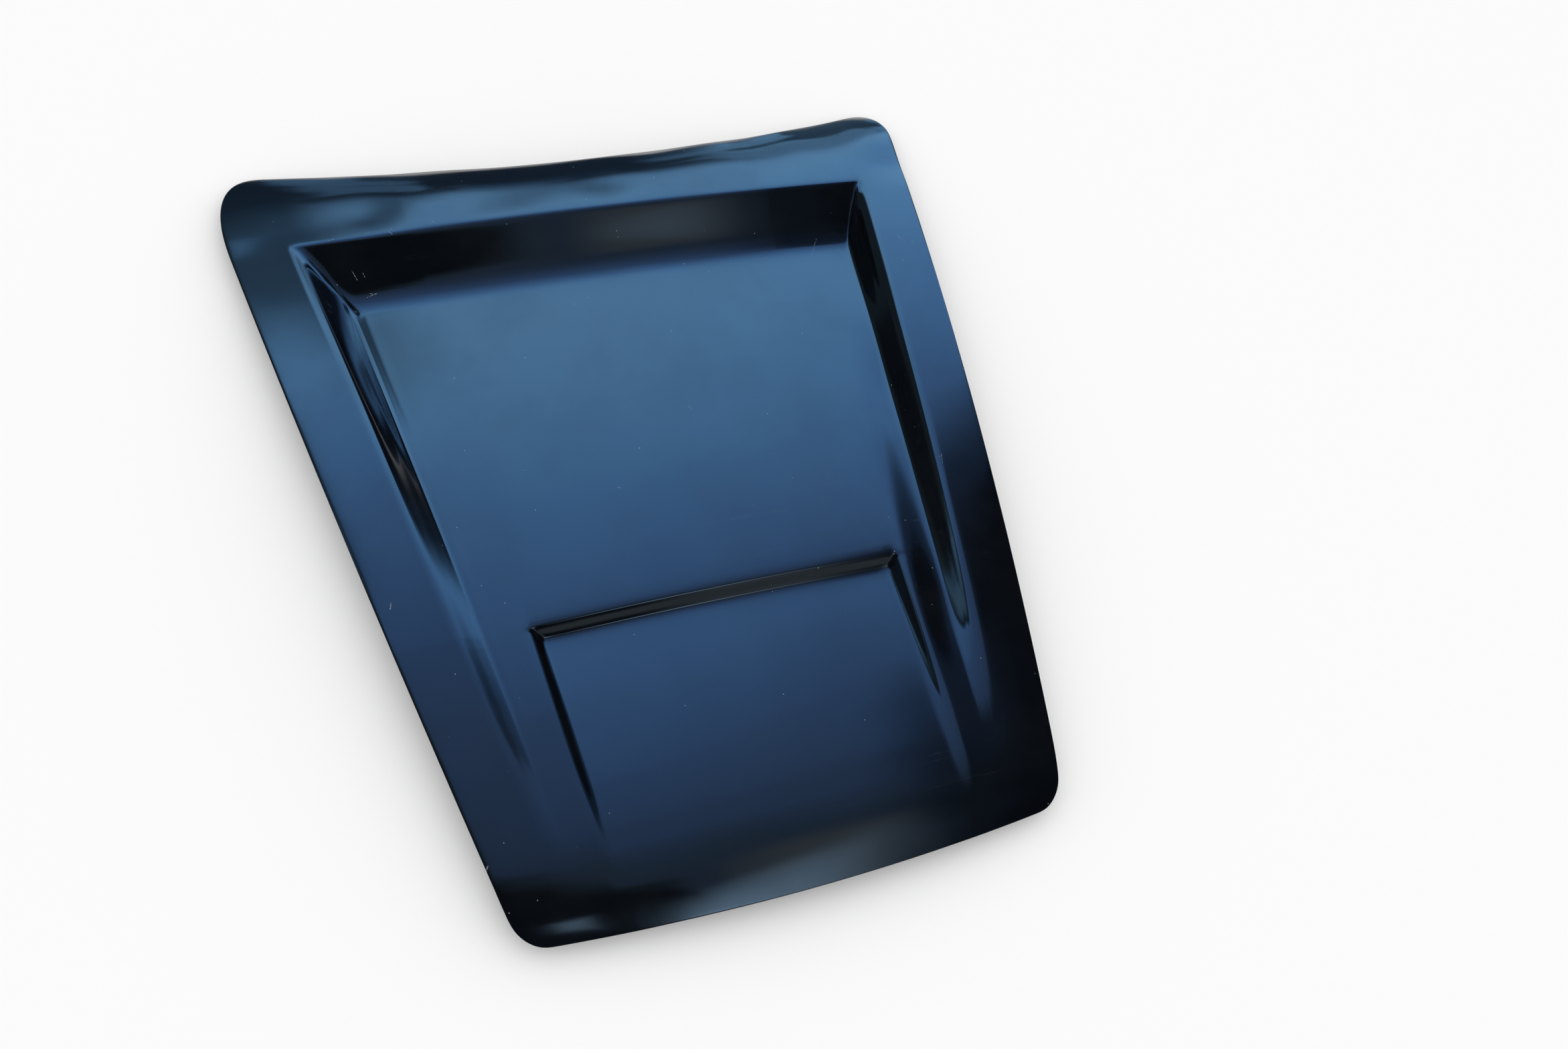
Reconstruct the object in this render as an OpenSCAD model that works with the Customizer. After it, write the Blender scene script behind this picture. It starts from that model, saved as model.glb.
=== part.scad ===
// Bonnet scoop: one moulded shell with a bonding flange all round, a wedge tray
// pressed into it and a second, shallower wedge pressed into the tray's floor.
// X runs across, Y runs from the narrow end to the wide end, Z is up out of the
// outer face. The origin lies on the middle axis, halfway between the two ends, at
// the height from which the crown and the arch rise.

/* [Flange] */
// Width of the flange at its wide end, corner to corner
wide_w = 600; // [540:5:700]
// Width of the flange at its narrow end, corner to corner
narrow_w = 384; // [360:2:440]
// Length along the middle axis from end to end, corners to corners
length = 672; // [640:5:760]
// How far each long side bows out between its corners
side_bow = 5.5; // [0:0.5:12]
// How far the wide end's edge curves inwards at the middle
wide_dip = 44; // [10:1:60]
// How far the narrow end's edge bulges outwards at the middle
narrow_bulge = 12; // [0:0.5:20]
// Thickness of the shell
shell_t = 2.6; // [2:0.1:3]

/* [Corners] */
// Left wide corner: rounding along the end
wide_left_rx = 44; // [20:1:50]
// Left wide corner: rounding along the side
wide_left_ry = 92; // [30:1:100]
// Right wide corner: rounding along the end
wide_right_rx = 34; // [20:1:50]
// Right wide corner: rounding along the side
wide_right_ry = 40; // [30:1:100]
// Narrow corners: rounding along the end
narrow_rx = 17; // [12:1:30]
// Narrow corners: rounding along the side
narrow_ry = 19; // [15:1:36]

/* [Crown] */
// Rise of the middle over the long edges
crown = 22; // [10:1:35]
// Rise of the middle over the two ends
arch = 16; // [6:1:25]
// Extra droop of the flange's lip at the narrow end
narrow_lip = 7; // [0:0.5:12]
// Width of the band that droops at the narrow end
narrow_lip_run = 42; // [30:1:48]
// Extra droop of the flange's lip at the wide end
wide_lip = 6.5; // [0:0.5:10]
// Width of the band that droops at the wide end
wide_lip_run = 50; // [30:1:60]

/* [Tray] */
// Depth of the tray at the foot of its end wall
tray_d = 25; // [15:1:28]
// How much of the tray's depth comes early: 0 is an even ramp to the foot
tray_belly = 0.15; // [0:0.05:0.6]
// Distance from the wide end to the rim of the end wall
tray_end_gap = 94; // [86:1:130]
// Bow of the end wall's rim towards the narrow end at the middle
tray_end_bow = 10; // [0:1:20]
// Distance from the narrow end at which the tray has faded out
tray_start = 60; // [50:1:80]
// Width between the side rims at the end wall
tray_wide_w = 486; // [470:2:500]
// Width between the side rims where the tray has faded out
tray_narrow_w = 334; // [324:2:344]
// Plan width of the left side wall at the end wall
left_run_wide = 39; // [28:1:44]
// Plan width of the right side wall at the end wall, where it is steeper
right_run_wide = 22; // [20:1:44]
// Plan width of the side walls where the tray has faded out
side_run_narrow = 20; // [18:1:24]
// Plan width of the end wall
end_run = 66; // [54:1:76]
// Plan width of the rounding along the tray's rim
rim_run = 6.5; // [5:0.5:7]
// Share of a wall's width taken by the rounding of its foot
foot_share = 0.5; // [0.4:0.02:0.6]

/* [Inner wedge] */
// Depth of the inner wedge below the tray's floor at its own end wall
wedge_d = 8; // [5:0.5:14]
// Distance from the narrow end to the rim of the inner wedge's end wall
wedge_end = 211; // [190:1:230]
// Distance from the narrow end at which the inner wedge has faded out
wedge_start = 53; // [48:1:80]
// Width between the inner wedge's side rims at its end wall
wedge_wide_w = 282; // [260:2:290]
// Width between the inner wedge's side rims where it has faded out
wedge_narrow_w = 265; // [240:1:270]
// Plan width of the inner wedge's side walls
wedge_side_run = 13; // [10:0.5:16]
// Plan width of the inner wedge's end wall
wedge_end_run = 11; // [9:0.5:16]
// Share of those walls taken by the rim rounding
wedge_rim_share = 0.4; // [0.3:0.02:0.46]
// Share of those walls taken by the foot rounding
wedge_foot_share = 0.46; // [0.3:0.02:0.5]

/* [Hidden] */

wide_half = wide_w / 2;
narrow_half = narrow_w / 2;
tray_end = length - tray_end_gap;
tray_foot = tray_end - end_run;
wedge_foot = wedge_end - wedge_end_run;
// Step for the slopes that set the shell's inner face
slope_step = 0.4;
// Width of the fillet along a mitre, as a share of the depth
mitre_blend = 0.1;
// How much the corner of the rim is rounded off, and the share of the depth it takes
corner_round = 0.5;
corner_depth = 0.35;

function mix(a, b, t) = a + (b - a) * t;
function clamp01(t) = min(1, max(0, t));

// A wall's section from rim (0) to foot (1): round rim, straight wall, round foot
function wall_section(t, rim, foot) =
    let (slope = 1 / (1 - rim / 2 - foot / 2))
    t <= 0 ? 0 :
    t < rim ? slope * t * t / (2 * rim) :
    t < 1 - foot ? slope * (t - rim / 2) :
    t < 1 ? 1 - slope * (1 - t) * (1 - t) / (2 * foot) : 1;

// The lower of two sections: they meet in a round corner just under the rim, which
// sharpens to a filleted mitre on the way down to the foot
function mitred(a, b) =
    let (
        low = min(a, b),
        apart = abs(a - b),
        fillet = mitre_blend / 4 * pow(max(0, 1 - apart / mitre_blend), 2),
        near_corner = max(0, 1 - 2 * apart / max(a + b, 0.001)),
        near_rim = 1 - clamp01(low / corner_depth),
        kept = 1 - corner_round * pow(near_corner * near_rim, 2)
    )
    (low * kept - fillet * clamp01(4 * low)) / (1 - mitre_blend / 4);

// Half widths of the lines that run lengthways, at a distance y from the narrow end
function edge_half(y) =
    let (t = y / length) mix(narrow_half, wide_half, t) + side_bow * 4 * t * (1 - t);
function tray_rim_half(y) =
    mix(tray_narrow_w / 2, tray_wide_w / 2,
        (min(y, tray_end) - tray_start) / (tray_end - tray_start));
function side_run(y, side) =
    mix(side_run_narrow, side < 0 ? left_run_wide : right_run_wide,
        (min(y, tray_end) - tray_start) / (tray_end - tray_start));
function wedge_rim_half(y) =
    mix(wedge_narrow_w / 2, wedge_wide_w / 2, (y - wedge_start) / (wedge_end - wedge_start));

// How much of a corner's rounding is taken off at a distance in from the end
function corner_cut(from_end, rx, ry) =
    from_end >= ry ? 0 : rx * (1 - sqrt(max(0, 1 - pow(1 - from_end / ry, 2))));
function trimmed_half(y, side) =
    edge_half(y)
    - corner_cut(y, narrow_rx, narrow_ry)
    - (side < 0 ? corner_cut(length - y, wide_left_rx, wide_left_ry)
                : corner_cut(length - y, wide_right_rx, wide_right_ry));

// Lines that run across bow towards the narrow end, more and more to the wide end
function cross_bow(y) =
    y < wedge_start ? -narrow_bulge * pow(1 - y / wedge_start, 2) :
    y < wedge_end ? 0 :
    y < tray_end ? -tray_end_bow * (y - wedge_end) / (tray_end - wedge_end) :
    -mix(tray_end_bow, wide_dip, (y - tray_end) / (length - tray_end));
function bowed(x, y) = y + cross_bow(y) * (1 - pow(x / edge_half(y), 2));

// Height of the outer face; x and row give the place before the rows are bowed
function skin_z(x, y_row, y_true) =
    let (
        across = x / wide_half,
        along = 2 * y_true / length - 1,
        to_narrow = clamp01(1 - y_row / narrow_lip_run),
        to_wide = clamp01(1 - (length - y_row) / wide_lip_run),
        way = clamp01((y_row - tray_start) / (tray_foot - tray_start)),
        deep = way * (1 + tray_belly * (1 - way)),
        in_side = (tray_rim_half(y_row) - abs(x)) / side_run(y_row, x),
        in_end = (tray_end - y_row) / end_run,
        tray = mitred(wall_section(in_side, rim_run / side_run(y_row, x), foot_share),
                      wall_section(in_end, rim_run / end_run, foot_share)),
        deep2 = clamp01((y_row - wedge_start) / (wedge_foot - wedge_start)),
        in_side2 = (wedge_rim_half(y_row) - abs(x)) / wedge_side_run,
        in_end2 = (wedge_end - y_row) / wedge_end_run,
        wedge = mitred(wall_section(in_side2, wedge_rim_share, wedge_foot_share),
                       wall_section(in_end2, wedge_rim_share, wedge_foot_share))
    )
    crown * (1 - across * across) + arch * (1 - along * along)
    - narrow_lip * to_narrow * to_narrow - wide_lip * to_wide * to_wide
    - tray_d * deep * tray - wedge_d * deep2 * wedge;

function skin_point(x, y) =
    let (y_true = bowed(x, y)) [x, y_true - length / 2, skin_z(x, y, y_true)];

// The inner face lies one shell thickness below, square to the outer face
function skin_normal(x, y) =
    let (
        u = skin_point(x + slope_step, y) - skin_point(x - slope_step, y),
        v = skin_point(x, y + slope_step) - skin_point(x, y - slope_step),
        n = cross(u, v)
    )
    n / norm(n);

// Places down a wall at which the mesh has a line
function wall_stops(run) =
    let (rim = rim_run / run)
    [0, rim / 2, rim, (1 + rim - foot_share) / 2, 1 - foot_share,
     1 - foot_share * 3 / 4, 1 - foot_share / 2, 1 - foot_share / 4, 1];
wedge_stops = [
    0, wedge_rim_share / 2, wedge_rim_share, 1 - wedge_foot_share, 1 - wedge_foot_share / 2, 1
];

// Stations from the flange's edge to the middle, on one side of a row
flange_steps = 4;
floor_steps = 3;
middle_steps = 3;
function half_row(y, side) =
    let (
        rim = tray_rim_half(y),
        edge = trimmed_half(y, side),
        run = side_run(y, side),
        foot = rim - run,
        rim2 = wedge_rim_half(y),
        foot2 = rim2 - wedge_side_run
    )
    concat(
        [for (i = [0 : flange_steps - 1]) mix(edge, rim, sin(90 * i / flange_steps))],
        [for (t = wall_stops(run)) rim - run * t],
        [for (i = [1 : floor_steps - 1]) mix(foot, rim2, i / floor_steps)],
        [for (t = wedge_stops) rim2 - wedge_side_run * t],
        [for (i = [1 : middle_steps - 1]) mix(foot2, 0, i / middle_steps)]
    );
function full_row(y) =
    let (left = half_row(y, -1), right = half_row(y, 1), n = len(left))
    concat([for (i = [0 : n - 1]) -left[i]], [0], [for (i = [n - 1 : -1 : 0]) right[i]]);

// Stations up an end wall, from its foot to its rim
function up_wall(rim_y, run, stops) = [for (i = [len(stops) - 1 : -1 : 0]) rim_y - run * stops[i]];

// Stations from the narrow end to the wide end
lip_steps = 4;
ramp_steps = 6;
floor_rows = 7;
ear_steps = 9;
rows = concat(
    [for (i = [0 : lip_steps - 1]) narrow_ry * (1 - cos(90 * i / lip_steps))],
    [narrow_ry, (narrow_ry + wedge_start) / 2],
    [for (i = [0 : ramp_steps - 1]) mix(wedge_start, wedge_foot, i / ramp_steps)],
    up_wall(wedge_end, wedge_end_run, wedge_stops),
    [for (i = [1 : floor_rows - 1]) mix(wedge_end, tray_foot, i / floor_rows)],
    up_wall(tray_end, end_run, wall_stops(end_run)),
    [for (i = [1 : ear_steps]) mix(tray_end, length, sin(90 * i / ear_steps))]
);

// The shell: both faces of the grid, closed by a strip round the trimmed edge
module scoop() {
    grid = [for (y = rows) full_row(y)];
    ny = len(rows);
    nx = len(grid[0]);
    outer = [for (j = [0 : ny - 1], i = [0 : nx - 1]) skin_point(grid[j][i], rows[j])];
    inner = [
        for (j = [0 : ny - 1], i = [0 : nx - 1])
            skin_point(grid[j][i], rows[j]) - shell_t * skin_normal(grid[j][i], rows[j])
    ];
    below = ny * nx;
    // Each cell is split along the way the mitres run on its side of the middle
    outer_faces = [
        for (j = [0 : ny - 2], i = [0 : nx - 2])
            let (a = j * nx + i, b = a + 1, c = a + nx, d = c + 1)
            each i < (nx - 1) / 2 ? [[a, c, b], [b, c, d]] : [[a, c, d], [a, d, b]]
    ];
    inner_faces = [for (f = outer_faces) [f[2] + below, f[1] + below, f[0] + below]];
    border = concat(
        [for (i = [0 : nx - 2]) i],
        [for (j = [0 : ny - 2]) j * nx + nx - 1],
        [for (i = [nx - 1 : -1 : 1]) (ny - 1) * nx + i],
        [for (j = [ny - 1 : -1 : 1]) j * nx]
    );
    edge_faces = [
        for (k = [0 : len(border) - 1])
            let (a = border[k], b = border[(k + 1) % len(border)])
            each [[a, b, b + below], [a, b + below, a + below]]
    ];
    color("#101214")
        polyhedron(
            points = concat(outer, inner),
            faces = concat(outer_faces, inner_faces, edge_faces),
            convexity = 6
        );
}

scoop();
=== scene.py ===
"""Bonnet scoop: a moulded, crowned shell in glossy black gelcoat, seen from above."""
import math

import bpy
import mathutils
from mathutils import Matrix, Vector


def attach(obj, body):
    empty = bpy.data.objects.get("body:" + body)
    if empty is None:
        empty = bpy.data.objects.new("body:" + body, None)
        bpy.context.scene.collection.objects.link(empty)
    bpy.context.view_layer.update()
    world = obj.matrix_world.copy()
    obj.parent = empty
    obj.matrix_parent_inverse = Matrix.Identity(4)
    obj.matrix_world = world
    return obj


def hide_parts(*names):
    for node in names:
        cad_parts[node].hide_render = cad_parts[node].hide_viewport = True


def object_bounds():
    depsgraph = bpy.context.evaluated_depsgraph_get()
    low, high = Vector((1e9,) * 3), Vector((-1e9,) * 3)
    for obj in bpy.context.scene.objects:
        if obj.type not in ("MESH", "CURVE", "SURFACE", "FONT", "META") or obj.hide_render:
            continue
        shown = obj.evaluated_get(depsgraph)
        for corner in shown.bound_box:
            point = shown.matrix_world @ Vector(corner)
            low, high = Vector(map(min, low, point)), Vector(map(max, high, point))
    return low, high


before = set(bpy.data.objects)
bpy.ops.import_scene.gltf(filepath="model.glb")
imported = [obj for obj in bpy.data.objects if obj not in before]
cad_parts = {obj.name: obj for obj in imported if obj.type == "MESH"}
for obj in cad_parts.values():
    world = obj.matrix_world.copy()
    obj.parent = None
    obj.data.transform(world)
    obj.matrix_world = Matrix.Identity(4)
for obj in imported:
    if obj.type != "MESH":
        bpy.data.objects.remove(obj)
cad_box = [list(corner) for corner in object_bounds()]

# Camera.
# It stands over the narrow end, to the left, and looks down along the part; the
# lens and the place were found from the outline and the part's left-right symmetry.
LENS_MM = 32.79
SENSOR_MM = 36.0
STANDPOINT = (-0.2629, -0.5439, 0.9192)
TURN_DEG = (30.446, -10.462, -18.186)
camera_data = bpy.data.cameras.new("photo_camera")
camera_data.lens = LENS_MM
camera_data.sensor_width = SENSOR_MM
camera = bpy.data.objects.new("photo_camera", camera_data)
bpy.context.collection.objects.link(camera)
camera.location = STANDPOINT
camera.rotation_euler = [math.radians(degrees) for degrees in TURN_DEG]
bpy.context.scene.camera = camera
bpy.context.scene.view_settings.view_transform = "Standard"

# Light.
# A soft studio: every surface gets plain even light, and glossy ones mirror a backdrop
# round the part. Its sweep ahead is blue-white and fades overhead, dark drapes hang at
# the sides, a canopy, a lamp and a spot behind, and a pale wall runs round low down.


class Socket:
    """A socket of a node tree, with Python's arithmetic written as Math nodes."""

    def __init__(self, tree, link):
        self.tree = tree
        self.link = link

    def node(self, kind, settings=None, inputs=None, output=0):
        made = self.tree.nodes.new(kind)
        for name, value in (settings or {}).items():
            if name == "stops":
                ramp = made.color_ramp
                while len(ramp.elements) < len(value):
                    ramp.elements.new(0.5)
                for element, (place, colour) in zip(ramp.elements, value):
                    element.position = place
                    element.color = (*colour, 1.0)
            else:
                setattr(made, name, value)
        for key, value in (inputs or {}).items():
            if isinstance(value, Socket):
                self.tree.links.new(value.link, made.inputs[key])
            else:
                made.inputs[key].default_value = value
        return Socket(self.tree, made.outputs[output]) if made.outputs else None

    def math(self, operation, *values):
        return self.node("ShaderNodeMath", {"operation": operation}, dict(enumerate(values)))

    def __add__(self, other):
        return self.math("ADD", self, other)

    __radd__ = __add__

    def __sub__(self, other):
        return self.math("SUBTRACT", self, other)

    def __rsub__(self, other):
        return self.math("SUBTRACT", other, self)

    def __mul__(self, other):
        return self.math("MULTIPLY", self, other)

    __rmul__ = __mul__

    def absolute(self):
        return self.math("ABSOLUTE", self)

    def larger(self, other):
        return self.math("MAXIMUM", self, other)

    def smaller(self, other):
        return self.math("MINIMUM", self, other)

    def smooth(self, low, high):
        """0 below low, 1 above high, with a soft step between them."""
        settings = {"interpolation_type": "SMOOTHSTEP"}
        return self.node("ShaderNodeMapRange", settings, {0: self, 1: low, 2: high})

    def over(self, below, above):
        """The colour above where this mask is 1, the colour below where it is 0."""
        return self.node(
            "ShaderNodeMix", {"data_type": "RGBA"}, {0: self, 6: below, 7: above}, output=2
        )


def noise(origin, place, scale, detail=2.0, roughness=0.5):
    """A cloudy pattern about 0.5, finer as the scale goes up."""
    inputs = {"Vector": place, "Scale": scale, "Detail": detail, "Roughness": roughness}
    return origin.node("ShaderNodeTexNoise", None, inputs)


world = bpy.data.worlds.new("studio")
bpy.context.scene.world = world
world.use_nodes = True
world_tree = world.node_tree
world_tree.nodes.clear()
sky = Socket(world_tree, None)
direction = sky.node("ShaderNodeTexCoord", output=0)
axes = sky.node("ShaderNodeSeparateXYZ", None, {0: direction}).link.node
straight_right, straight_front, upward = (Socket(world_tree, axes.outputs[i]) for i in range(3))

# The cloth hangs in soft folds, so every edge in it is a little wavy; the lamp's less so.
FOLD_SCALE, FOLD_DEPTH = 4.5, 0.16
FOLDS_AHEAD, FOLDS_AT_LAMP = 0.6, 0.2
folds = (noise(sky, direction, FOLD_SCALE) - 0.5) * FOLD_DEPTH
to_right = straight_right + folds
to_front = straight_front + folds * FOLDS_AHEAD
lamp_right = straight_right + folds * FOLDS_AT_LAMP
behind = folds * FOLDS_AT_LAMP - straight_front

# The sweep, from straight behind (0) over the top (0.5) to straight ahead (1).
SWEEP = [
    (0.400, (0.024, 0.043, 0.076)),
    (0.500, (0.028, 0.054, 0.100)),
    (0.560, (0.036, 0.072, 0.152)),
    (0.625, (0.048, 0.100, 0.224)),
    (0.685, (0.057, 0.130, 0.300)),
    (0.735, (0.088, 0.222, 0.510)),
    (0.785, (0.124, 0.328, 0.700)),
    (0.835, (0.176, 0.448, 0.850)),
    (0.865, (0.196, 0.470, 0.840)),
    (0.893, (0.110, 0.262, 0.480)),
    (0.930, (0.052, 0.125, 0.240)),
    (1.000, (0.026, 0.062, 0.120)),
]
backdrop = sky.node("ShaderNodeValToRGB", {"stops": SWEEP}, {0: to_front * 0.5 + 0.5})

# Its foot lies in shadow, patchy from folds, with two gaps that let light through.
BLACK_CLOTH = (0.002, 0.004, 0.008, 1.0)
GAP_LIGHT = (0.110, 0.260, 0.450, 1.0)
SWEEP_FOOT = (0.76, 0.90)
RIGHT_GAP, MIDDLE_GAP, MIDDLE_GAP_LIGHT = (0.24, 0.40), (0.02, 0.07), 0.25
PATCH_SCALE, PATCHES, PATCHED_FROM = 5.5, (0.47, 0.58), (0.76, 0.84)
LEFT_SHADOW_AHEAD, LEFT_SHADOW_SIDE = (0.64, 0.72), (-0.12, 0.0)
FOOT_SHADOW = 0.8
foot = to_front.smooth(*SWEEP_FOOT)
right_gap = to_right.smooth(*RIGHT_GAP)
middle_gap = 1.0 - to_right.absolute().smooth(*MIDDLE_GAP)
gap_light = foot * right_gap.larger(middle_gap * MIDDLE_GAP_LIGHT)
backdrop = gap_light.over(backdrop, GAP_LIGHT)
shadow = foot * (1.0 - right_gap.larger(middle_gap))
patches = noise(sky, direction, PATCH_SCALE, 1.0).smooth(*PATCHES)
shadow = shadow.larger(patches * to_front.smooth(*PATCHED_FROM))
left_shadow = 1.0 - to_right.smooth(*LEFT_SHADOW_SIDE)
shadow = shadow.larger(to_front.smooth(*LEFT_SHADOW_AHEAD) * left_shadow)
backdrop = (shadow * FOOT_SHADOW).over(backdrop, BLACK_CLOTH)

# The left drape's edge runs in two straight lengths, and one bright slit crosses it.
LEFT_CLOTH = (0.012, 0.023, 0.033, 1.0)
OVERHEAD_SLOPE, OVERHEAD_OUT = 0.17, 0.12
SIDE_SLOPE, SIDE_OUT, SIDE_STRAIGHT_BEHIND = 0.8, 0.07, -0.2
LEFT_EDGE = (-0.03, 0.03)
SLIT_SLOPE, SLIT_AHEAD, SLIT, SLIT_LIGHT = 0.165, 0.385, (0.015, 0.05), 0.7
SLIT_SIDE = (-0.36, -0.24)
overhead_edge = to_right + to_front * OVERHEAD_SLOPE + OVERHEAD_OUT
side_edge = to_right + to_front.larger(SIDE_STRAIGHT_BEHIND) * SIDE_SLOPE + SIDE_OUT
left_drape = 1.0 - overhead_edge.smaller(side_edge).smooth(*LEFT_EDGE)
backdrop = left_drape.over(backdrop, LEFT_CLOTH)
slit = 1.0 - (to_front + to_right * SLIT_SLOPE - SLIT_AHEAD).absolute().smooth(*SLIT)
slit = slit * (1.0 - to_right.smooth(*SLIT_SIDE))
backdrop = (slit * SLIT_LIGHT).over(backdrop, GAP_LIGHT)

# The right drape is black. Its edge draws outwards ahead of the turn, and a second one
# hangs far ahead.
RIGHT_TURN, RIGHT_SLOPE = 0.36, 2.1
RIGHT_EDGE, RIGHT_DENSE, RIGHT_DENSE_EDGE = (0.33, 0.50), 0.82, (0.54, 0.60)
FAR_DRAPE_SIDE, FAR_DRAPE_AHEAD = (0.58, 0.66), (0.56, 0.62)
past_right = to_right - (to_front - RIGHT_TURN).larger(0.0) * RIGHT_SLOPE
right_drape = past_right.smooth(*RIGHT_EDGE) * RIGHT_DENSE
right_drape = right_drape + past_right.smooth(*RIGHT_DENSE_EDGE) * (1.0 - RIGHT_DENSE)
far_drape = to_right.smooth(*FAR_DRAPE_SIDE) * to_front.smooth(*FAR_DRAPE_AHEAD)
backdrop = right_drape.larger(far_drape).over(backdrop, BLACK_CLOTH)

# Behind hangs a black cloth with a grey canopy, a slanting lamp and one small spot.
CANOPY = (0.062, 0.080, 0.100, 1.0)
LAMP = (0.360, 0.580, 0.840, 1.0)
REAR_SLOPE, REAR_EDGE, REAR_CLOTH = 1.3, (-0.19, -0.11), 0.94
CANOPY_RIGHT, CANOPY_SIDE, CANOPY_BEHIND = 0.30, (0.04, 0.16), (0.03, 0.16)
LAMP_SLOPE, LAMP_EDGE, LAMP_END = 0.75, (0.375, 0.555), (0.46, 0.54)
LAMP_LEFT, LAMP_RIGHT = (0.03, 0.09), (0.08, 0.44)
SPOT_RIGHT, SPOT_BEHIND, SPOT_SIZE, SPOT_LIGHT = -0.055, 0.385, (0.012, 0.045), 0.45
SPOT_SQUAT = 0.9
rear_cloth = 1.0 - (to_front + to_right * REAR_SLOPE).smooth(*REAR_EDGE)
backdrop = (rear_cloth * REAR_CLOTH).over(backdrop, BLACK_CLOTH)
canopy = 1.0 - (lamp_right - CANOPY_RIGHT).absolute().smooth(*CANOPY_SIDE)
backdrop = (canopy * behind.smooth(*CANOPY_BEHIND)).over(backdrop, CANOPY)
lamp = (behind + lamp_right * LAMP_SLOPE).smooth(*LAMP_EDGE) * (1.0 - behind.smooth(*LAMP_END))
lamp = lamp * lamp_right.smooth(*LAMP_LEFT) * (1.0 - lamp_right.smooth(*LAMP_RIGHT))
spot_right = (lamp_right - SPOT_RIGHT).absolute()
spot_behind = (behind - SPOT_BEHIND).absolute()
spot = 1.0 - spot_right.larger(spot_behind * SPOT_SQUAT).smooth(*SPOT_SIZE)
backdrop = lamp.larger(spot * SPOT_LIGHT).over(backdrop, LAMP)

# Low down, a dim grey screen stands behind and to the sides, on a pale wall all round.
SCREEN = (0.050, 0.065, 0.080, 1.0)
PALE_WALL = (0.392, 0.394, 0.396, 1.0)
SCREEN_TOP, SCREEN_AHEAD = (0.30, 0.55), (-0.10, 0.15)
WALL_TOP, WALL_LOWER_AHEAD, WALL_DROP = (0.08, 0.16), (0.10, 0.40), 0.09
screen = (1.0 - upward.smooth(*SCREEN_TOP)) * (1.0 - to_front.smooth(*SCREEN_AHEAD))
backdrop = screen.over(backdrop, SCREEN)
above_wall = upward + to_front.smooth(*WALL_LOWER_AHEAD) * WALL_DROP
backdrop = (1.0 - above_wall.smooth(*WALL_TOP)).over(backdrop, PALE_WALL)

BACKDROP_STRENGTH = 2.5
PLAIN_WHITE = (1.0, 1.0, 1.0, 1.0)
rays = world_tree.nodes.new("ShaderNodeLightPath")
mirrored = Socket(world_tree, rays.outputs["Is Camera Ray"])
mirrored = mirrored + Socket(world_tree, rays.outputs["Is Glossy Ray"])
mirrored = mirrored + Socket(world_tree, rays.outputs["Is Transmission Ray"])
plain_light = sky.node("ShaderNodeBackground", None, {0: PLAIN_WHITE, 1: 1.0})
backdrop_light = sky.node("ShaderNodeBackground", None, {0: backdrop, 1: BACKDROP_STRENGTH})
both = sky.node("ShaderNodeMixShader", None, {0: mirrored, 1: plain_light, 2: backdrop_light})
sky.node("ShaderNodeOutputWorld", None, {0: both})

# Floor.
# One wide, plain, matt white sheet just under the part; it only takes a soft shadow.
FLOOR_HALF = 30.0
FLOOR_GAP = 0.001
FLOOR_WHITE = (0.97, 0.97, 0.97, 1.0)
bpy.ops.object.select_all(action="DESELECT")
floor_z = cad_box[0][2] - FLOOR_GAP
bpy.ops.mesh.primitive_plane_add(size=2 * FLOOR_HALF, location=(0, 0, floor_z))
floor = bpy.context.object
floor.name = "floor"
bpy.ops.object.transform_apply(location=True, rotation=True, scale=True)
floor_paint = bpy.data.materials.new("floor_paint")
floor_paint.use_nodes = True
floor_shader = floor_paint.node_tree.nodes["Principled BSDF"]
floor_shader.inputs["Base Color"].default_value = FLOOR_WHITE
floor_shader.inputs["Roughness"].default_value = 0.9
floor_shader.inputs["Specular IOR Level"].default_value = 0.1
floor.data.materials.append(floor_paint)

# Shell.
# The scoop is one moulding: gelcoat sprayed on a polished mould, glass mat and resin
# rolled on behind it, and the flange trimmed by hand with a saw. The solid's own faces
# are taken over and made quads again, the trimmed edge is broken, and all is rounded.
MERGE_WITHIN = 0.00002
EDGE_BREAK = 0.0004
STRIP_MAX_RISE = 0.45
shell = bpy.data.objects.new("scoop_shell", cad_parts["scoop"].data.copy())
bpy.context.collection.objects.link(shell)
bpy.ops.object.select_all(action="DESELECT")
shell.select_set(True)
bpy.context.view_layer.objects.active = shell
bpy.ops.object.mode_set(mode="EDIT")
bpy.ops.mesh.select_all(action="SELECT")
bpy.ops.mesh.remove_doubles(threshold=MERGE_WITHIN)
bpy.ops.mesh.tris_convert_to_quads(face_threshold=math.pi, shape_threshold=math.pi)
bpy.ops.mesh.select_mode(type="EDGE")
bpy.ops.mesh.select_all(action="DESELECT")
bpy.ops.object.mode_set(mode="OBJECT")

GELCOAT, LAMINATE, SAWN = 0, 1, 2
sides_of_edge = {}
for face in shell.data.polygons:
    if face.normal.z > STRIP_MAX_RISE:
        face.material_index = GELCOAT
    elif face.normal.z < -STRIP_MAX_RISE:
        face.material_index = LAMINATE
    else:
        face.material_index = SAWN
    for key in face.edge_keys:
        sides_of_edge.setdefault(key, set()).add(face.material_index)
for edge in shell.data.edges:
    edge.select = SAWN in sides_of_edge[edge.key] and len(sides_of_edge[edge.key]) > 1
bpy.ops.object.mode_set(mode="EDIT")
bpy.ops.mesh.bevel(offset=EDGE_BREAK, segments=2, affect="EDGES")
bpy.ops.object.mode_set(mode="OBJECT")
rounding = shell.modifiers.new("rounding", "SUBSURF")
rounding.levels = 2
rounding.render_levels = 2
bpy.ops.object.modifier_apply(modifier="rounding")

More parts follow.
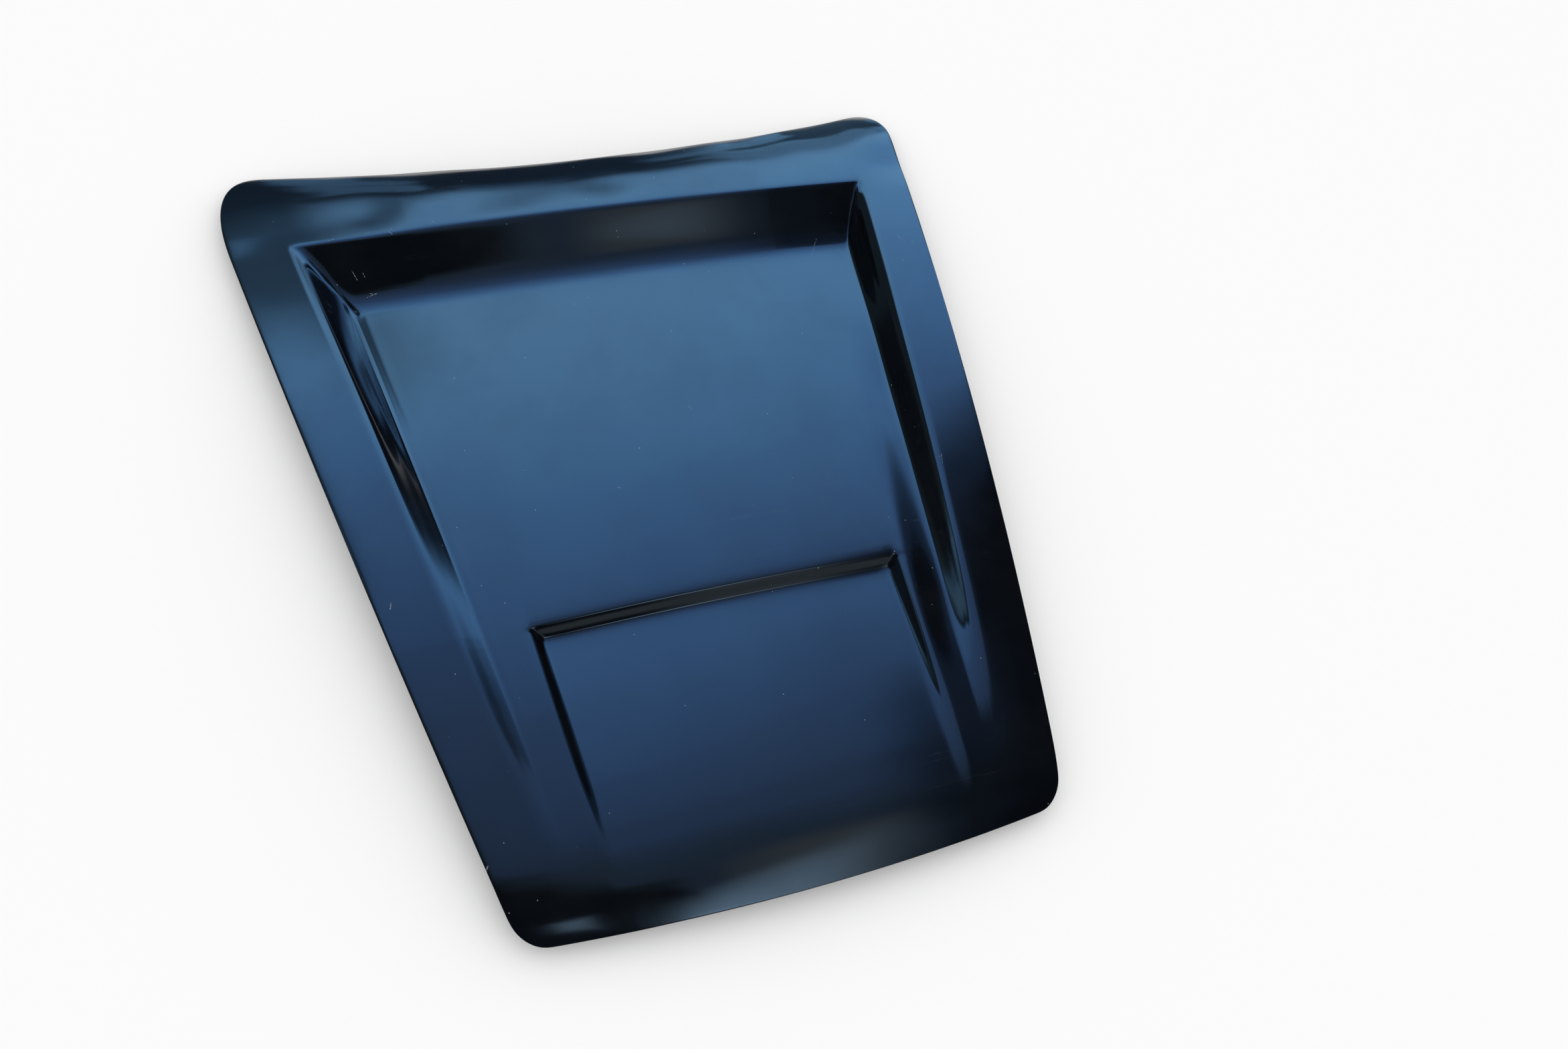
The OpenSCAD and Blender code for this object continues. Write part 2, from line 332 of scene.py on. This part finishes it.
# The tray's side walls are plain slopes with a crisp foot, the floor sinks a little along
# the right one, the inner wedge runs out long, and both ends' lips are slightly wavy.
# Both faces of the shell are moved together, by 3.8 mm at the most. All sizes are in mm.
MIDDLE_BOW = 1.5
TRAY_START, TRAY_END, TRAY_DEPTH, TRAY_BELLY = -276.0, 242.0, 25.0, 0.15
TRAY_NARROW_HALF, TRAY_WIDENING = 167.0, 76.0
END_RUN, RIM_RUN, WIDEST_RIM = 66.0, 6.5, 0.4
LEFT_RUN, RIGHT_RUN, NARROW_RUN = 39.0, 22.0, 20.0
ROUND_FOOT, CRISP_FOOT, LEFT_SHARE = 0.5, 0.16, 0.82
GUTTER, GUTTER_WIDTH = 2.2, 26.0
GUTTER_START, GUTTER_END, GUTTER_FADE = -250.0, 20.0, 90.0
WEDGE_START, LONG_START, WEDGE_END = -284.5, -314.0, -126.5
WEDGE_DEPTH, WEDGE_RUN, WEDGE_FOOT = 8.0, 13.0, 0.4
WEDGE_NARROW_HALF, WEDGE_WIDENING = 132.5, 8.5
WAVE_LENGTH, WAVE_HEIGHT, WAVE_SLICE = 62.0, 1.7, 0.4
WIDE_LIP, WIDE_LIP_RUN = 228.0, 34.0
NARROW_LIP, NARROW_LIP_RUN, NARROW_LIP_WAVE = -318.0, 28.0, 0.3


def wall_section(across, run, foot):
    """How far down a wall is, 0 at the rim to 1 at the foot, so many mm in from the rim."""
    way = min(max(across / run, 0.0), 1.0)
    rim = min(RIM_RUN / run, WIDEST_RIM)
    steep = 1.0 / (1.0 - rim / 2 - foot / 2)
    if way < rim:
        return steep * way * way / (2 * rim)
    if way < 1.0 - foot:
        return steep * (way - rim / 2)
    return 1.0 - steep * (1.0 - way) ** 2 / (2 * foot)


def eased(value):
    """0 below 0 and 1 above 1, with a soft step between them."""
    value = min(max(value, 0.0), 1.0)
    return value * value * (3.0 - 2.0 * value)


def lip_wave(x, y):
    """How far the wavy lips rise, strongest at the wide end."""
    narrow_lip = 1.0 - eased((y - NARROW_LIP) / NARROW_LIP_RUN)
    share = max(eased((y - WIDE_LIP) / WIDE_LIP_RUN), NARROW_LIP_WAVE * narrow_lip)
    place = (x / WAVE_LENGTH, y / WAVE_LENGTH, WAVE_SLICE)
    return share * WAVE_HEIGHT * mathutils.noise.noise(place)


def wedge_drop(x, y):
    """How much deeper the inner wedge is when it starts nearer to the narrow end."""
    along = (y - WEDGE_START) / (WEDGE_END - WEDGE_START)
    across = WEDGE_NARROW_HALF + WEDGE_WIDENING * along - abs(x)
    if across <= 0.0 or not LONG_START < y < WEDGE_END:
        return 0.0
    long_way = (y - LONG_START) / (WEDGE_END - LONG_START)
    deeper = WEDGE_DEPTH * (long_way - max(along, 0.0))
    return deeper * wall_section(across, WEDGE_RUN, WEDGE_FOOT)


def wall_rise(x, y):
    """How far a side wall with a crisp foot stands above the solid's round one."""
    if not TRAY_START < y < TRAY_END:
        return 0.0
    along = (y - TRAY_START) / (TRAY_END - TRAY_START)
    across = TRAY_NARROW_HALF + TRAY_WIDENING * along - abs(x)
    run = NARROW_RUN + ((LEFT_RUN if x < 0 else RIGHT_RUN) - NARROW_RUN) * along
    way = min((y - TRAY_START) / (TRAY_END - END_RUN - TRAY_START), 1.0)
    depth = TRAY_DEPTH * way * (1.0 + TRAY_BELLY * (1.0 - way))
    end_wall = wall_section(TRAY_END - y, END_RUN, ROUND_FOOT)
    crisp_run = run * (LEFT_SHARE if x < 0 else 1.0)
    solid_wall = min(wall_section(across, run, ROUND_FOOT), end_wall)
    crisp_wall = min(wall_section(across, crisp_run, CRISP_FOOT), end_wall)
    sunk = 0.0
    if x > 0:
        sunk = GUTTER * eased(across / run) * (1.0 - eased((across - run) / GUTTER_WIDTH))
        sunk = sunk * eased((y - GUTTER_START) / GUTTER_FADE)
        sunk = sunk * (1.0 - eased((y - GUTTER_END) / GUTTER_FADE))
    return depth * (solid_wall - crisp_wall) - sunk


for vertex in shell.data.vertices:
    x, y = vertex.co.x * 1000.0, vertex.co.y * 1000.0 + MIDDLE_BOW
    vertex.co.z += (lip_wave(x, y) - wedge_drop(x, y) + wall_rise(x, y)) / 1000.0
bpy.ops.object.shade_smooth()


def new_surface(name):
    """A material, its shader, a start for its nodes, and the place on the part in metres."""
    made = bpy.data.materials.new(name)
    made.use_nodes = True
    origin = Socket(made.node_tree, None)
    place = origin.node("ShaderNodeTexCoord", output=3)
    return made, made.node_tree.nodes["Principled BSDF"], origin, place


def feed(shader, name, value):
    """Links a varying socket to the shader's input of that name."""
    value.tree.links.new(value.link, shader.inputs[name])


def stretched(origin, place, turn_deg, squeeze):
    """The place turned about Z and squeezed lengthways, so a pattern becomes streaks."""
    inputs = {"Vector": place, "Rotation": (0.0, 0.0, math.radians(turn_deg)),
              "Scale": (squeeze, 1.0, 1.0)}
    return origin.node("ShaderNodeMapping", {"vector_type": "POINT"}, inputs)


def bumped(origin, height, distance_m, strength, below=None):
    """The face's normal with a relief so many metres high, over another relief or none."""
    inputs = {"Strength": strength, "Distance": distance_m, "Height": height}
    if below is not None:
        inputs["Normal"] = below
    return origin.node("ShaderNodeBump", None, inputs)


def scuff(x_mm, y_mm, ends, width):
    """1 on a short straight mark between two places on the face, in mm."""
    (ax, ay), (bx, by) = ends
    length = math.hypot(bx - ax, by - ay)
    along_x, along_y = (bx - ax) / length, (by - ay) / length
    along = (x_mm - ax) * along_x + (y_mm - ay) * along_y
    across = ((x_mm - ax) * along_y - (y_mm - ay) * along_x).absolute()
    from_middle = (along - length / 2).absolute()
    line = 1.0 - across.smooth(width * 0.25, width * 0.7)
    return line * (1.0 - from_middle.smooth(length * 0.4, length * 0.5))


# The gelcoat is near-black and polished, a little wavy from the mould, hazy where it
# was handled, with hairlines, scuffs at the tray's corners, chipped edges and dust.
# The last four marks are chips out of the sawn edge.
gelcoat, shader, origin, place = new_surface("black_gelcoat")
SCUFFS = [
    [(-167, 236), (-164, 231), 0.5],
    [(-165, 237), (-162, 234), 0.3],
    [(-200, 212), (-197, 204), 0.5],
    [(-192, 209), (-191, 205), 0.4],
    [(-193, 190), (-184, 192), 0.6],
    [(-190, 193), (-186, 191), 0.4],
    [(-214, 236), (-208, 237), 0.35],
    [(-185, 237), (-180, 238), 0.3],
    [(187, 191), (176, 173), 0.25],
    [(251, 170), (253, 163), 0.3],
    [(244, 142), (246, 138), 0.35],
    [(202, -54), (200, -63), 0.3],
    [(22, 32), (24, 28), 0.3],
    [(-52, -30), (-48, -31), 0.3],
    [(229, -152), (232, -146), 1.0],
    [(231, -149), (227, -147), 0.5],
    [(-224, -88), (-226, -94), 0.8],
    [(-200, -280), (-203, -285), 0.9],
]
split = origin.node("ShaderNodeSeparateXYZ", None, {0: place}).link.node
x_mm, y_mm = (Socket(origin.tree, split.outputs[i]) * 1000.0 for i in range(2))
RAGGED_SCALE, RAGGED = 900.0, (0.42, 0.58)
marks = None
for first, last, width in SCUFFS:
    mark = scuff(x_mm, y_mm, (first, last), width)
    marks = mark if marks is None else marks.larger(mark)
marks = marks * noise(origin, place, RAGGED_SCALE, 3.0).smooth(*RAGGED)

# Each layer of hairlines has its turn in degrees, its fineness and its squeeze.
HAIR_LAYERS = [(20.0, 260.0, 0.02), (-35.0, 300.0, 0.03), (75.0, 240.0, 0.02)]
HAIRLINE = (0.70, 0.76)
RUBBED_SCALE, RUBBED, BROKEN_SCALE, BROKEN = 9.0, (0.50, 0.66), 300.0, (0.35, 0.60)
hairs = None
for turn_deg, scale, squeeze in HAIR_LAYERS:
    lines = noise(origin, stretched(origin, place, turn_deg, squeeze), scale, 1.0)
    lines = lines.smooth(*HAIRLINE)
    hairs = lines if hairs is None else hairs.larger(lines)
hairs = hairs * noise(origin, place, RUBBED_SCALE).smooth(*RUBBED)
hairs = hairs * noise(origin, place, BROKEN_SCALE).smooth(*BROKEN)

DUST_CELLS, DUST_SIZE, DUSTY_CELLS = 160.0, (0.035, 0.07), (0.93, 0.94)
cell_inputs = {"Vector": place, "Scale": DUST_CELLS}
cells = origin.node("ShaderNodeTexVoronoi", {"feature": "F1"}, cell_inputs)
cell_colour = Socket(cells.tree, cells.link.node.outputs["Color"])
cell_pick = origin.node("ShaderNodeSeparateColor", None, {0: cell_colour})
dust = (1.0 - cells.smooth(*DUST_SIZE)) * cell_pick.smooth(*DUSTY_CELLS)

CLEAN_BLACK, HAZY_BLACK = (0.0008, 0.0010, 0.0014, 1.0), (0.0016, 0.0022, 0.0030, 1.0)
HAIR_GREY, MARK_GREY = (0.10, 0.12, 0.14, 1.0), (0.36, 0.40, 0.42, 1.0)
DUST_GREY = (0.42, 0.46, 0.48, 1.0)
HAZE_SCALE, HAZY = 14.0, (0.35, 0.75)
haze = noise(origin, place, HAZE_SCALE, 4.0, 0.6).smooth(*HAZY)
colour = haze.over(CLEAN_BLACK, HAZY_BLACK)
colour = (hairs * 0.04).over(colour, HAIR_GREY)
colour = (marks * 0.6).over(colour, MARK_GREY)
colour = (dust * 0.7).over(colour, DUST_GREY)
feed(shader, "Base Color", colour)
feed(shader, "Roughness", haze * 0.06 + hairs * 0.06 + marks * 0.4 + dust * 0.5 + 0.08)
feed(shader, "Coat Weight", 1.0 - haze * 0.3)
SWELL_SCALE, SWELL_M, PEEL_SCALE, PEEL_M = 9.0, 0.0010, 420.0, 0.000004
SCRATCH_M = 0.00005
face_normal = bumped(origin, noise(origin, place, SWELL_SCALE, 1.0), SWELL_M, 0.5)
face_normal = bumped(origin, noise(origin, place, PEEL_SCALE), PEEL_M, 1.0, face_normal)
face_normal = bumped(origin, 1.0 - marks - hairs * 0.04, SCRATCH_M, 1.0, face_normal)
feed(shader, "Normal", face_normal)
shader.inputs["IOR"].default_value = 1.5
shader.inputs["Specular IOR Level"].default_value = 1.0
shader.inputs["Coat Roughness"].default_value = 0.045
shader.inputs["Coat IOR"].default_value = 1.5
shell.data.materials.clear()
shell.data.materials.append(gelcoat)

# The back is resin over chopped glass mat: dark, half glossy, with pale strands lying
# every way just under the surface and a coarse feel from the roller.
laminate, shader, origin, place = new_surface("glass_laminate")
THIN_RESIN, THICK_RESIN = (0.020, 0.023, 0.022, 1.0), (0.034, 0.038, 0.036, 1.0)
GLASS_STRAND = (0.115, 0.125, 0.118, 1.0)
STRAND_TURNS_DEG, STRAND_SQUEEZE = (8.0, 52.0, 97.0, 141.0), 0.06
STRAND_SCALE, STRAND = 330.0, (0.56, 0.66)
RESIN_SCALE, RESIN, ROLLED_M = 18.0, (0.3, 0.7), 0.0004
strands = None
for turn_deg in STRAND_TURNS_DEG:
    along_strand = stretched(origin, place, turn_deg, STRAND_SQUEEZE)
    streaks = noise(origin, along_strand, STRAND_SCALE, 2.0, 0.6).smooth(*STRAND)
    strands = streaks if strands is None else strands.larger(streaks)
resin = noise(origin, place, RESIN_SCALE, 3.0).smooth(*RESIN)
back = resin.over(THIN_RESIN, THICK_RESIN)
feed(shader, "Base Color", (strands * 0.5).over(back, GLASS_STRAND))
feed(shader, "Roughness", resin * 0.12 + strands * 0.1 + 0.36)
feed(shader, "Normal", bumped(origin, strands * 0.6 + resin, ROLLED_M, 0.8))
shell.data.materials.append(laminate)

# The sawn edge shows the cut laminate, grey and dry, with pale chips in the gelcoat.
sawn, shader, origin, place = new_surface("sawn_edge")
CUT_RESIN, CUT_FIBRE = (0.045, 0.055, 0.060, 1.0), (0.16, 0.19, 0.20, 1.0)
FIBRE_SCALE, FIBRE, SAWN_M = 700.0, (0.4, 0.65), 0.0002
fibres = noise(origin, place, FIBRE_SCALE, 3.0, 0.6).smooth(*FIBRE)
feed(shader, "Base Color", fibres.over(CUT_RESIN, CUT_FIBRE))
feed(shader, "Roughness", fibres * 0.2 + 0.55)
feed(shader, "Normal", bumped(origin, fibres, SAWN_M, 0.6))
shell.data.materials.append(sawn)

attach(shell, "root")
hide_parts("scoop")
